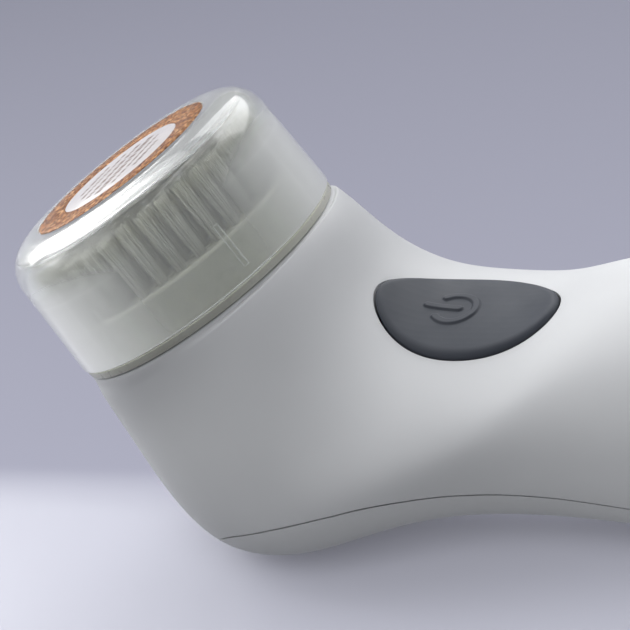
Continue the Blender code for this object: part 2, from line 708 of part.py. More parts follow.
def charging():
    """The charging coil and its ferrite above the flat pad."""
    copper = material("charge_copper", (0.72, 0.36, 0.18), 0.3, 1.0)
    ferrite = material("ferrite_grey", (0.1, 0.1, 0.105), 0.6)
    coil = [(10.8, -38.3), (10.8, -39.3), (5.2, -39.3), (5.2, -38.3)]
    in_body(revolve("charging_coil", coil, 40, copper), COIL_X)
    disc = [(0.0, -37.1), (11.2, -37.1), (11.2, -38.0), (0.0, -38.0)]
    in_body(revolve("charging_ferrite", disc, 40, ferrite, closed=False), COIL_X)


def wire(name, points, mat, radius=0.55):
    """A round wire through points of the body frame."""
    curve = bpy.data.curves.new(name, "CURVE")
    curve.dimensions = "3D"
    curve.bevel_depth = radius * MM
    curve.bevel_resolution = 2
    curve.use_fill_caps = True
    path = curve.splines.new("POLY")
    path.points.add(len(points) - 1)
    for spot, (x, y, z) in zip(path.points, points):
        spot.co = ((HEAD_X + x) * MM, y * MM, (HEAD_Z + z) * MM, 1.0)
    curve.materials.append(mat)
    obj = bpy.data.objects.new(name, curve)
    parts.objects.link(obj)
    return obj


def head_point(x, y, z):
    """A head-frame point in the body frame."""
    c = math.cos(HEAD_TILT)
    s = math.sin(HEAD_TILT)
    return (x * c - z * s, y, x * s + z * c)


def wiring():
    """Two motor leads to the board."""
    red = material("lead_red", (0.6, 0.05, 0.04), 0.5)
    black = material("lead_black", (0.04, 0.04, 0.04), 0.5)
    for name, side, mat in (("motor_lead_1", 1.0, red), ("motor_lead_2", -1.0, black)):
        start = Vector(head_point(14.5, 8.0 * side, -20.0))
        first = Vector(head_point(8.6, 8.0 * side, -20.0))
        last = Vector((36.0, 6.0 * side, BOARD_TOP - 0.5))
        middle = Vector((31.0, 7.0 * side, BOARD_TOP - 0.2))
        path = []
        for k in range(9):
            t = k / 8.0
            a = (1 - t) ** 3
            b = 3 * t * (1 - t) ** 2
            c = 3 * t * t * (1 - t)
            path.append(tuple(a * first + b * start + c * middle + t**3 * last))
        wire(name, path, mat)


front_housing()
back_cover()
cover_gasket()
head_bezel()
head_seal_ring()
clear_cap()
cap_labels()
brush_outer_ring()
brush_inner_disc()
brush_tufts()
drive_hub()
drive_boot()
flexure_plate()
motor_bracket()
screws()
armature()
stator()
chassis()
battery()
electronics()
power_button()
charging()
wiring()
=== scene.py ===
"""Looks for the facial cleansing brush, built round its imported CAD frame."""
import math
import random

import bpy
import bmesh
import numpy as np
from mathutils import Matrix, Vector
from mathutils.bvhtree import BVHTree
from mathutils.kdtree import KDTree


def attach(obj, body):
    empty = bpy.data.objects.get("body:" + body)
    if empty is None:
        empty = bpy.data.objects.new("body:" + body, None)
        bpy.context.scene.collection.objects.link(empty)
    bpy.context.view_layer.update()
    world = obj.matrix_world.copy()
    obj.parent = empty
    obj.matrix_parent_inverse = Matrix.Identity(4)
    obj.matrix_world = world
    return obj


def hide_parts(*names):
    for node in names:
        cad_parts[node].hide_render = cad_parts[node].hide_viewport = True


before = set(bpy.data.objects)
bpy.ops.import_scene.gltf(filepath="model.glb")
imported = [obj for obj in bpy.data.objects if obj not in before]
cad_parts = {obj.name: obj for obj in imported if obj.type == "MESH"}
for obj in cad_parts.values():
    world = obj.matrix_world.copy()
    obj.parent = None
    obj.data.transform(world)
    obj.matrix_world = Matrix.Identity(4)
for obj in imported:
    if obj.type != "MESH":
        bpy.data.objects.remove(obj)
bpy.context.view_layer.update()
random.seed(7)

# Sizes are in millimetres. Body points are (along, up) from the head's centre, in the plane of symmetry;
# head points are (radius, height) along the tilted head axis.
MM = 0.001
HEAD_X = -54.57
HEAD_Z = 44.9
TILT = math.radians(20.0)
TOP_LINE = [
    (22.55, 8.2), (25.5, 4.5), (29.4, -3.1), (37.1, -8.5), (47.2, -10.0),
    (58.2, -9.6), (71.5, -5.1), (95.6, -3.4), (118.0, -3.6),
]
BACK_LINE = [
    (-22.55, -8.2), (-17.9, -21.0), (-12.7, -33.6), (-4.6, -43.0), (10.5, -43.8),
    (29.0, -39.5), (55.6, -39.8), (92.0, -43.9), (118.0, -44.1),
]
HALF_WIDTH = [24.0, 23.9, 25.8, 27.0, 26.5, 22.9, 19.5, 20.5, 20.8]
TOP_POWER = [2.0, 2.18, 2.32, 2.31, 2.19, 2.28, 2.19, 2.23, 2.3]
BACK_POWER = [2.0, 2.45, 2.56, 2.55, 2.47, 2.45, 2.5, 2.41, 2.3]
HEAD_R = 24.0
HEAD_FOOT = -1.5
MOUTH_EDGE = 0.45
WALL = 2.2
DOME_LENGTH = 20.27
DOME_POWER = 2.5
PARTING = [
    (-16.0, -47.0), (-9.0, -41.8), (-3.0, -37.6), (5.0, -33.0), (15.0, -29.8), (28.0, -26.6),
    (37.0, -25.6), (47.0, -26.8), (61.0, -29.0), (72.0, -31.0), (90.0, -32.8), (112.0, -34.3), (145.0, -36.0),
]
CAP_R = 24.4
CAP_TOP = 21.2
CAP_SHOULDER_R = 23.75
CORNER_R = 16.85
CORNER_Z = 15.1
CORNER_POWER = 2.27
CAP_WALL = 1.3
CAP_CEILING = 1.45
LABEL_SUNK = 0.35
RIB = [(22.2, -0.25), (22.35, -0.4), (23.6, -0.4), (23.6, 0.4), (22.35, 0.4), (22.2, 0.25)]
RIB_TOP = 9.0
RIB_FOOT = 1.5
LABEL_R = 16.0
LABEL_INNER_R = 10.9
BRUSH_FACE = 6.5
OUTER_TOP = 17.0
INNER_TOP = 14.2
BUTTON_X = 44.6
BUTTON_A = 14.0
BUTTON_B = 9.75
BUTTON_GAP = 0.3
BUTTON_PROUD = 1.0
BUTTON_EDGE = 1.2
SIGN_X = -2.35
SIGN_R = 3.25
SIGN_GAP = math.radians(46.0)
SIGN_BAR = (-4.2, 0.8)
SIGN_HIGH = 0.34
PARTING_GAP = 0.3
PAD_X = 98.0
AXIS_R = 0.001
SHARP = math.radians(38)

HEAD = Matrix.Translation((HEAD_X * MM, 0.0, HEAD_Z * MM)) @ Matrix.Rotation(-TILT, 4, "Y")


# ------------------------------------------------------------------ materials
def fill_ramp(ramp, stops):
    """Set the stops of a colour ramp, as (position, colour)."""
    while len(ramp.elements) < len(stops):
        ramp.elements.new(0.5)
    for element, (position, colour) in zip(ramp.elements, stops):
        element.position = position
        element.color = (*colour, 1.0)


class Nodes:
    """One Principled material and short ways to wire it; keyword values name shader sockets."""

    def __init__(self, name, colour, roughness, **values):
        self.mat = bpy.data.materials.new(name)
        self.mat.use_nodes = True
        self.tree = self.mat.node_tree
        self.shader = self.tree.nodes["Principled BSDF"]
        self.shader.inputs["Base Color"].default_value = (*colour, 1.0)
        self.shader.inputs["Roughness"].default_value = roughness
        for key, value in values.items():
            self.shader.inputs[key.replace("_", " ")].default_value = value
        self.coords = self.tree.nodes.new("ShaderNodeTexCoord").outputs["Object"]

    def node(self, kind, **props):
        """A new node with its properties set."""
        made = self.tree.nodes.new(kind)
        for key, value in props.items():
            setattr(made, key, value)
        return made

    def link(self, a, b):
        """Join output a to input b."""
        self.tree.links.new(a, b)

    def noise(self, scale, detail=3.0):
        """Noise over the object's coordinates."""
        made = self.node("ShaderNodeTexNoise")
        made.inputs["Scale"].default_value = scale
        made.inputs["Detail"].default_value = detail
        made.inputs["Roughness"].default_value = 0.55
        self.link(self.coords, made.inputs["Vector"])
        return made.outputs["Fac"]

    def ramp(self, source, stops):
        """A colour from a value, by stops of (position, colour)."""
        made = self.node("ShaderNodeValToRGB")
        fill_ramp(made.color_ramp, stops)
        self.link(source, made.inputs["Fac"])
        return made.outputs["Color"]

    def span(self, source, low, high, from_low=0.0, from_high=1.0):
        """A value moved from one range to another."""
        made = self.node("ShaderNodeMapRange")
        made.inputs["From Min"].default_value = from_low
        made.inputs["From Max"].default_value = from_high
        made.inputs["To Min"].default_value = low
        made.inputs["To Max"].default_value = high
        self.link(source, made.inputs["Value"])
        return made.outputs["Result"]

    def colour_from(self, source, stops):
        """Drive the base colour."""
        self.link(self.ramp(source, stops), self.shader.inputs["Base Color"])

    def rough_from(self, source, low, high):
        """Drive the roughness with a noise."""
        self.link(self.span(source, low, high, 0.3, 0.7), self.shader.inputs["Roughness"])

    def bump(self, source, strength, distance):
        """Relief from a value."""
        made = self.node("ShaderNodeBump")
        made.inputs["Strength"].default_value = strength
        made.inputs["Distance"].default_value = distance
        self.link(source, made.inputs["Height"])
        self.link(made.outputs["Normal"], self.shader.inputs["Normal"])


def plain(name, colour, roughness, spread=0.06, scale=900.0, depth=0.00002, **values):
    """A material with a fine grain in colour, gloss and relief."""
    n = Nodes(name, colour, roughness, **values)
    fine = n.noise(scale, 4.0)
    broad = n.noise(scale / 14.0, 2.0)
    low = tuple(c * (1.0 - spread) for c in colour)
    high = tuple(min(1.0, c * (1.0 + spread)) for c in colour)
    n.colour_from(broad, [(0.3, low), (0.7, high)])
    n.rough_from(fine, max(0.02, roughness - 0.06), min(1.0, roughness + 0.06))
    n.bump(fine, 0.25, depth)
    return n.mat


def body_white():
    """Satin white plastic with a very fine texture, faint clouding and a few dust specks."""
    n = Nodes("body_white", (0.78, 0.79, 0.80), 0.45, Specular_IOR_Level=0.4)
    broad = n.noise(38.0, 3.0)
    base = n.ramp(broad, [(0.3, (0.755, 0.765, 0.775)), (0.7, (0.795, 0.805, 0.815))])
    specks = n.node("ShaderNodeTexVoronoi", feature="F1")
    specks.inputs["Scale"].default_value = 85.0
    specks.inputs["Randomness"].default_value = 1.0
    n.link(n.coords, specks.inputs["Vector"])
    near = n.span(specks.outputs["Distance"], 1.0, 0.0, 0.018, 0.03)
    pick = n.span(specks.outputs["Color"], 0.0, 1.0, 0.86, 0.9)
    both = n.node("ShaderNodeMath", operation="MULTIPLY")
    n.link(near, both.inputs[0])
    n.link(pick, both.inputs[1])
    mix = n.node("ShaderNodeMix", data_type="RGBA")
    n.link(both.outputs[0], mix.inputs["Factor"])
    n.link(base, mix.inputs["A"])
    mix.inputs["B"].default_value = (0.16, 0.15, 0.14, 1.0)
    n.link(mix.outputs["Result"], n.shader.inputs["Base Color"])
    fine = n.noise(2600.0, 2.0)
    n.rough_from(n.noise(160.0, 4.0), 0.42, 0.5)
    n.bump(fine, 0.12, 0.000008)
    return n.mat


def cap_clear():
    """Clear moulded plastic with a milky haze that thickens where the wall is seen edge-on."""
    n = Nodes("cap_clear", (0.95, 0.965, 0.955), 0.16, IOR=1.46, Transmission_Weight=0.8, Coat_Weight=0.3,
              Coat_Roughness=0.07)
    haze = n.noise(30.0, 2.0)
    n.rough_from(haze, 0.11, 0.18)
    edge = n.node("ShaderNodeLayerWeight")
    edge.inputs["Blend"].default_value = 0.5
    milk = n.span(edge.outputs["Facing"], 0.12, 0.9, 0.03, 0.46)
    height = n.node("ShaderNodeVectorMath", operation="DOT_PRODUCT")
    n.link(n.coords, height.inputs[0])
    height.inputs[1].default_value = (-math.sin(TILT), 0.0, math.cos(TILT))
    foot = (-math.sin(TILT) * HEAD_X + math.cos(TILT) * HEAD_Z) * MM
    lower = n.span(height.outputs["Value"], 1.0, 0.2, foot + 0.0125, foot + 0.0165)
    both = n.node("ShaderNodeMath", operation="MULTIPLY")
    n.link(milk, both.inputs[0])
    n.link(lower, both.inputs[1])
    n.link(n.span(both.outputs[0], 1.0, 0.0), n.shader.inputs["Transmission Weight"])
    open_path = n.node("ShaderNodeBsdfTransparent")
    open_path.inputs["Color"].default_value = (0.82, 0.83, 0.82, 1.0)
    path = n.node("ShaderNodeLightPath")
    mix = n.node("ShaderNodeMixShader")
    n.link(path.outputs["Is Shadow Ray"], mix.inputs[0])
    n.link(n.shader.outputs[0], mix.inputs[1])
    n.link(open_path.outputs[0], mix.inputs[2])
    out = n.tree.nodes["Material Output"]
    n.link(mix.outputs[0], out.inputs["Surface"])
    return n.mat


def ring_green():
    """Milky grey-green moulded ring."""
    n = Nodes("ring_green", (0.64, 0.64, 0.56), 0.3, Subsurface_Weight=0.3)
    n.shader.inputs["Subsurface Radius"].default_value = (0.002, 0.002, 0.0015)
    n.colour_from(n.noise(90.0, 3.0), [(0.3, (0.60, 0.60, 0.52)), (0.7, (0.68, 0.68, 0.61))])
    n.rough_from(n.noise(500.0, 3.0), 0.24, 0.36)
    n.bump(n.noise(900.0, 3.0), 0.15, 0.00002)
    return n.mat


def copper_glitter():
    """Copper film full of bright flakes."""
    n = Nodes("copper_glitter", (0.6, 0.25, 0.08), 0.35, Metallic=0.4)
    flakes = n.node("ShaderNodeTexVoronoi", feature="F1")
    flakes.inputs["Scale"].default_value = 2300.0
    n.link(n.coords, flakes.inputs["Vector"])
    pick = n.node("ShaderNodeSeparateColor")
    n.link(flakes.outputs["Color"], pick.inputs["Color"])
    n.colour_from(pick.outputs["Red"], [
        (0.0, (0.13, 0.042, 0.006)), (0.4, (0.32, 0.11, 0.018)),
        (0.75, (0.46, 0.18, 0.04)), (0.93, (0.85, 0.5, 0.24)),
    ])
    n.link(n.span(pick.outputs["Green"], 0.15, 0.55), n.shader.inputs["Roughness"])
    n.bump(pick.outputs["Blue"], 0.5, 0.00004)
    return n.mat


def label_paper():
    """Pale printed film with a faint weave."""
    n = Nodes("label_paper", (0.9, 0.9, 0.93), 0.42, Coat_Weight=0.2)
    n.colour_from(n.noise(700.0, 4.0), [(0.3, (0.64, 0.61, 0.62)), (0.7, (0.72, 0.69, 0.69))])
    n.rough_from(n.noise(400.0, 3.0), 0.36, 0.5)
    n.bump(n.noise(1500.0, 3.0), 0.1, 0.00001)
    return n.mat


def bristle(name, low, high):
    """Nylon filament whose tone varies at random between two colours."""
    n = Nodes(name, high, 0.45, Subsurface_Weight=0.1, Sheen_Weight=0.1)
    n.shader.inputs["Subsurface Radius"].default_value = (0.001, 0.001, 0.0008)
    n.colour_from(n.noise(420.0, 3.0), [(0.3, low), (0.7, high)])
    n.rough_from(n.noise(900.0, 3.0), 0.38, 0.55)
    return n.mat


def rubber_grey():
    """Matt silicone rubber with a fine grain."""
    n = Nodes("rubber_grey", (0.066, 0.073, 0.09), 0.5, Specular_IOR_Level=0.35)
    n.colour_from(n.noise(70.0, 3.0), [(0.3, (0.063, 0.07, 0.086)), (0.7, (0.073, 0.081, 0.099))])
    n.rough_from(n.noise(240.0, 4.0), 0.46, 0.56)
    n.bump(n.noise(4200.0, 2.0), 0.2, 0.00001)
    return n.mat


def wound_copper(name, scale):
    """Enamelled copper turns."""
    n = Nodes(name, (0.6, 0.26, 0.1), 0.28, Metallic=0.9)
    wave = n.node("ShaderNodeTexWave", wave_type="BANDS", bands_direction="Z")
    wave.inputs["Scale"].default_value = scale
    wave.inputs["Distortion"].default_value = 0.4
    n.link(n.coords, wave.inputs["Vector"])
    n.colour_from(wave.outputs["Fac"], [(0.0, (0.3, 0.11, 0.04)), (0.6, (0.66, 0.3, 0.12))])
    n.rough_from(n.noise(800.0, 3.0), 0.22, 0.36)
    n.bump(wave.outputs["Fac"], 0.5, 0.0001)
    return n.mat


# ------------------------------------------------------------------ geometry helpers
def link_mesh(name, points, faces, mat, smooth=True):
    """A mesh object from points in metres."""
    mesh = bpy.data.meshes.new(name)
    mesh.from_pydata([tuple(p) for p in points], [], faces)
    mesh.validate()
    obj = bpy.data.objects.new(name, mesh)
    bpy.context.scene.collection.objects.link(obj)
    if mat is not None:
        mesh.materials.append(mat)
    if smooth:
        mesh.polygons.foreach_set("use_smooth", [True] * len(mesh.polygons))
    return obj


def skin(rings):
    """Points and faces of a closed skin over equal-count rings, an array (rings, count, 3) in metres."""
    total, count, _ = rings.shape
    points = rings.reshape(-1, 3)
    faces = []
    for i in range(total - 1):
        a = i * count
        b = a + count
        for k in range(count):
            n = (k + 1) % count
            faces.append((a + n, a + k, b + k, b + n))
    faces.append(tuple(range(count)))
    last = (total - 1) * count
    faces.append(tuple(last + k for k in reversed(range(count))))
    return points, faces


def outward(obj):
    """Turn every face of a closed mesh to the outside."""
    bm = bmesh.new()
    bm.from_mesh(obj.data)
    bmesh.ops.recalc_face_normals(bm, faces=bm.faces)
    bm.to_mesh(obj.data)
    bm.free()
    return obj


def spline(values, s):
    """Natural cubic spline through values at 0, 1, 2, ...; s is an array."""
    y = np.array(values, float)
    n = len(y)
    matrix = np.eye(n)
    right = np.zeros_like(y)
    for i in range(1, n - 1):
        matrix[i, i - 1 : i + 2] = (1.0, 4.0, 1.0)
        right[i] = 6.0 * (y[i - 1] - 2.0 * y[i] + y[i + 1])
    bend = np.linalg.solve(matrix, right)
    s = np.atleast_1d(np.asarray(s, float))
    i = np.clip(np.floor(s).astype(int), 0, n - 2)
    u = s - i
    a = 1.0 - u
    if y.ndim == 2:
        u = u[:, None]
        a = a[:, None]
    return a * y[i] + u * y[i + 1] + ((a**3 - a) * bend[i] + (u**3 - u) * bend[i + 1]) / 6.0


def ovals(top, back, width, power, count):
    """Sections between top and back points of the symmetry plane, as (n, count, 3) in millimetres."""
    angle = np.arange(count) * math.tau / count
    c = np.cos(angle)[None, :]
    s = np.sin(angle)[None, :]
    high, low = power
    e = np.where(c > 0.0, 2.0 / np.asarray(high, float)[:, None], 2.0 / np.asarray(low, float)[:, None])
    up = np.sign(c) * np.abs(c) ** e
    side = np.sign(s) * np.abs(s) ** e
    middle = (top + back) / 2.0
    half = (top - back) / 2.0
    ring = np.zeros((len(top), count, 3))
    ring[..., 0] = middle[:, 0, None] + half[:, 0, None] * up
    ring[..., 1] = np.asarray(width)[:, None] * side
    ring[..., 2] = middle[:, 1, None] + half[:, 1, None] * up
    return ring


def head_ring(radius, height, count):
    """A round ring of the head frame in body millimetres."""
    c = math.cos(TILT)
    s = math.sin(TILT)
    top = np.array([[radius * c - height * s, radius * s + height * c]])
    back = np.array([[-radius * c - height * s, -radius * s + height * c]])
    return ovals(top, back, [radius], ([2.0], [2.0]), count)[0]


def to_row(rings):
    """Body millimetres to row metres."""
    return (rings + np.array((HEAD_X, 0.0, HEAD_Z))) * MM


def body_rings(inset, count, steps, dome_steps, mouth=None):
    """Fine sections of the body from the mouth to the end of the dome."""
    s = np.linspace(0.48, 8.0, steps)
    top = spline(TOP_LINE, s)
    back = spline(BACK_LINE, s)
    shrink = inset * (top - back) / np.linalg.norm(top - back, axis=1)[:, None]
    rings = ovals(top - shrink, back + shrink, spline(HALF_WIDTH, s) - inset,
                  (spline(TOP_POWER, s), spline(BACK_POWER, s)), count)
    first = rings[0]
    slope = (rings[1] - rings[0]) / (s[1] - s[0])
    reach = HEAD_R - inset
    if mouth is None:
        edge = MOUTH_EDGE
        start = head_ring(reach, HEAD_FOOT - edge, count)
        head = [head_ring(reach - edge * (1.0 - math.sin(a)), HEAD_FOOT - edge * (1.0 - math.cos(a)), count)
                for a in np.linspace(0.0, math.pi / 2, 5)]
    else:
        start = head_ring(reach, HEAD_FOOT, count)
        head = [head_ring(reach, mouth, count), start]
    gap = np.linalg.norm(first - start, axis=1)[:, None]
    down = np.array((math.sin(TILT), 0.0, -math.cos(TILT)))[None, :] * gap
    steer = slope / np.linalg.norm(slope, axis=1)[:, None] * gap
    for t in np.linspace(0.0, 1.0, 8)[1:-1]:
        h00 = 2 * t**3 - 3 * t**2 + 1
        h10 = t**3 - 2 * t**2 + t
        h01 = -2 * t**3 + 3 * t**2
        h11 = t**3 - t**2
        head.append(h00 * start + h10 * down + h01 * first + h11 * steer)
    low = np.array(TOP_LINE[-1])
    high = np.array(BACK_LINE[-1])
    middle = (low + high) / 2.0
    half = (low - high) / 2.0
    u = 0.94 * np.sin(np.linspace(0.0, math.pi / 2, dome_steps + 1)[1:])
    scale = (1.0 - u**DOME_POWER) ** (1.0 / DOME_POWER)
    centre = middle[None, :] + np.stack([u * (DOME_LENGTH - inset * 1.06), u * 0.0], 1)
    tall = half[None, :] * scale[:, None] * (1.0 - inset / np.linalg.norm(half))
    power = 2.0 + 0.3 * scale
    dome = ovals(centre + tall, centre - tall, (HALF_WIDTH[-1] - inset) * scale, (power, power), count)
    return to_row(np.concatenate([np.array(head), rings, dome]))


def finished(obj):
    """The object's mesh with its modifiers applied, in place."""
    graph = bpy.context.evaluated_depsgraph_get()
    made = bpy.data.meshes.new_from_object(obj.evaluated_get(graph), depsgraph=graph)
    old = obj.data
    obj.modifiers.clear()
    obj.data = made
    if old.users == 0:
        bpy.data.meshes.remove(old)
    return obj


def drop(*objs):
    """Remove helper objects."""
    for obj in objs:
        bpy.data.objects.remove(obj, do_unlink=True)


def boolean(obj, cutter, operation="DIFFERENCE"):
    """One exact Boolean."""
    mod = obj.modifiers.new("cut", "BOOLEAN")
    mod.operation = operation
    mod.solver = "EXACT"
    mod.object = cutter


def smooth_like(obj, source, reach=0.00004, angle=40.0):
    """Give the faces that lie on the clean source surface its smooth normals; other faces stay flat."""
    mesh = obj.data
    clean = source.data
    tree = KDTree(len(clean.vertices))
    for v in clean.vertices:
        tree.insert(v.co, v.index)
    tree.balance()
    corners = [tuple(p.vertices) for p in clean.polygons]
    surface = BVHTree.FromPolygons([v.co for v in clean.vertices], corners)
    normals = [v.normal.copy() for v in clean.vertices]
    limit = math.cos(math.radians(angle))
    cache = {}
    for v in mesh.vertices:
        found = surface.find_nearest(v.co)
        if found[0] is None or found[3] > reach:
            continue
        total = Vector()
        for _, index, distance in tree.find_n(v.co, 4):
            total += normals[index] / (distance + 1e-7) ** 2
        cache[v.index] = total.normalized()
    split = [None] * len(mesh.loops)
    for face in mesh.polygons:
        flat = face.normal.copy()
        for i in face.loop_indices:
            near = cache.get(mesh.loops[i].vertex_index)
            split[i] = near if near is not None and near.dot(flat) > limit else flat
    mesh.polygons.foreach_set("use_smooth", [True] * len(mesh.polygons))
    mesh.normals_split_custom_set(split)


def turned(name, profile, steps, mat, place=HEAD):
    """A fine turned piece; the closed profile lists (radius, height) and runs down the outer side."""
    count = len(profile)
    rings = np.zeros((count, steps, 3))
    angle = np.arange(steps) * math.tau / steps
    for i, (r, z) in enumerate(profile):
        rings[i, :, 0] = r * np.cos(angle)
        rings[i, :, 1] = r * np.sin(angle)
        rings[i, :, 2] = z
    points = rings.reshape(-1, 3) * MM
    faces = []
    for i in range(count):
        a = i * steps
        b = ((i + 1) % count) * steps
        for k in range(steps):
            n = (k + 1) % steps
            faces.append((a + k, b + k, b + n, a + n))
    obj = link_mesh(name, points, faces, mat)
    obj.data.transform(place)
    obj.data.set_sharp_from_angle(angle=SHARP)
    return obj


def rounded(points, radius, steps=4):
    """A closed profile with its corners rounded."""
    made = []
    total = len(points)
    for i in range(total):
        p = np.array(points[i], float)
        a = np.array(points[i - 1], float) - p
        b = np.array(points[(i + 1) % total], float) - p
        r = min(radius, np.linalg.norm(a) * 0.45, np.linalg.norm(b) * 0.45)
        start = p + a / np.linalg.norm(a) * r
        end = p + b / np.linalg.norm(b) * r
        for k in range(steps + 1):
            t = k / steps
            made.append(tuple((1 - t) ** 2 * start + 2 * t * (1 - t) * p + t**2 * end))
    return made


# ------------------------------------------------------------------ body shells
def parting_cutter(name, above, shift):
    """A block above or below the parting line."""
    xs = np.linspace(-15.5, 144.5, 161)
    px = np.array([p[0] for p in PARTING])
    pz = [p[1] for p in PARTING]
    index = np.clip(np.searchsorted(px, xs) - 1, 0, len(px) - 2)
    s = index + (xs - px[index]) / (px[index + 1] - px[index])
    zs = spline(pz, s) + shift
    far = 45.0 if above else -95.0
    line = [(-60.0, zs[0] - 30.0)] + list(zip(xs, zs)) + [(150.0, zs[-1]), (150.0, far), (-60.0, far)]
    count = len(line)
    points = [((HEAD_X + x) * MM, y * MM, (HEAD_Z + z) * MM) for y in (-50.0, 50.0) for x, z in line]
    faces = [tuple(range(count)), tuple(reversed(range(count, 2 * count)))]
    faces += [(k, count + k, count + (k + 1) % count, (k + 1) % count) for k in range(count)]
    obj = link_mesh(name, points, faces, None, False)
    return outward(obj)


BODY_SKIN = skin(body_rings(0.0, 144, 150, 16))


def button_frame():
    """Matrix of the button's own frame, and the surface search tree it follows."""
    points, faces = BODY_SKIN
    tree = BVHTree.FromPolygons([Vector(p) for p in points], faces)
    spot = tree.ray_cast(Vector(((HEAD_X + BUTTON_X) * MM, 0.0, 0.1)), Vector((0, 0, -1)))[0]
    return Matrix.Translation(spot), tree


BUTTON, SURFACE = button_frame()


def surface_height(u, y):
    """Height of the body over the button's plane at u, y, in millimetres."""
    probe = 30.0
    start = BUTTON @ Vector((u * MM, y * MM, probe * MM))
    return probe - SURFACE.ray_cast(start, Vector((0, 0, -1)))[3] / MM


def oval_prism(name, a, b, low, high, steps=128):
    """A straight oval prism on the button's axis."""
    angle = np.arange(steps) * math.tau / steps
    ring = np.stack([a * np.cos(angle), b * np.sin(angle)], 1)
    rings = np.stack([np.column_stack([ring, np.full(steps, z)]) for z in (high, low)])
    points, faces = skin(rings * MM)
    obj = link_mesh(name, points, faces, None, False)
    obj.data.transform(BUTTON)
    return outward(obj)


def shells(mat):
    """The front housing and back cover at full smoothness."""
    clean = outward(link_mesh("clean_body", *BODY_SKIN, None))
    inside = outward(link_mesh("inside", *skin(body_rings(WALL, 64, 40, 8, mouth=3.0)), None))
    below = parting_cutter("below", False, PARTING_GAP / 2.0)
    above = parting_cutter("above", True, -PARTING_GAP / 2.0)
    hole = oval_prism("hole", BUTTON_A + BUTTON_GAP, BUTTON_B + BUTTON_GAP, -9.0, 9.0)
    corners = [tuple(p.vertices) for p in clean.data.polygons]
    made = []
    for name, cutter in (("housing_shell", below), ("cover_shell", above)):
        shell = link_mesh(name, [v.co for v in clean.data.vertices], corners, mat)
        boolean(shell, cutter)
        boolean(shell, inside)
        if name == "housing_shell":
            boolean(shell, hole)
        finished(shell)
        smooth_like(shell, clean)
        made.append(shell)
    profile = [(8.88, 0.12), (9.0, 0.4), (9.0, 2.4), (AXIS_R, 2.4), (AXIS_R, 0.0), (8.6, 0.0)]
    disc = turned("pad_disc", profile, 96, mat, Matrix.Translation(((HEAD_X + PAD_X) * MM, 0, 0)))
    drop(clean, inside, below, above, hole)
    return made + [disc]


WHITE = body_white()
housing, cover, pad_disc = shells(WHITE)
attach(housing, "handle")
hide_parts("front_housing")
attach(cover, "handle")
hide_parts("back_cover")
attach(pad_disc, "handle")


# ------------------------------------------------------------------ button
def glyph(u, y):
    """Height of the raised power sign: an open ring and a bar that points to the head."""
    x = u - SIGN_X
    ring = abs(math.hypot(x - 0.1, y) - SIGN_R)
    if abs(math.atan2(y, 0.1 - x)) < SIGN_GAP:
        ring = math.hypot(0.1 - x - SIGN_R * math.cos(SIGN_GAP), abs(y) - SIGN_R * math.sin(SIGN_GAP))
    bar = math.hypot(max(SIGN_BAR[0] - x, 0.0, x - SIGN_BAR[1]), y)
    near = min(ring, bar)
    t = min(max((0.78 - near) / 0.42, 0.0), 1.0)
    return SIGN_HIGH * t * t * (3 - 2 * t)


def button_skin(mat):
    """The rubber button: its top follows the body, stands 1 mm proud and carries the sign."""
    steps = 300
    angle = np.arange(steps) * math.tau / steps
    a = BUTTON_A
    b = BUTTON_B
    side = [(0.0, -3.3), (0.0, -1.2), (0.0, -0.1)]
    side += [(BUTTON_EDGE * (1.0 - math.cos(t)), -0.1 + 1.1 * math.sin(t))
             for t in np.linspace(0.15, math.pi / 2, 9)]
    rings = []
    for inset, height in side:
        ring = [((a - inset) * math.cos(t), (b - inset) * math.sin(t)) for t in angle]
        if height < -3.0:
            rings.append([(u, y, height) for u, y in ring])
        else:
            rings.append([(u, y, height + surface_height(u, y)) for u, y in ring])
    for f in np.linspace(0.988, 0.012, 96):
        ring = [((a - BUTTON_EDGE) * f * math.cos(t), (b - BUTTON_EDGE) * f * math.sin(t)) for t in angle]
        rings.append([(u, y, BUTTON_PROUD + surface_height(u, y) + glyph(u, y)) for u, y in ring])
    points, faces = skin(np.array(rings)[::-1] * MM)
    obj = link_mesh("button_skin", points, faces, mat)
    obj.data.transform(BUTTON)
    return outward(obj)


button = button_skin(rubber_grey())
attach(button, "button")
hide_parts("power_button")


# ------------------------------------------------------------------ cap and label
def cap_corner(radius, inset, steps):
    """Rounded top edge, from the top down to the side."""
    points = []
    for angle in np.linspace(90.0, 0.0, steps):
        t = math.radians(angle)
        r = CORNER_R + (radius - CORNER_R) * math.cos(t) ** (2 / CORNER_POWER)
        z = CORNER_Z + (CAP_TOP - inset - CORNER_Z) * math.sin(t) ** (2 / CORNER_POWER)
        points.append((r, z))
    return points


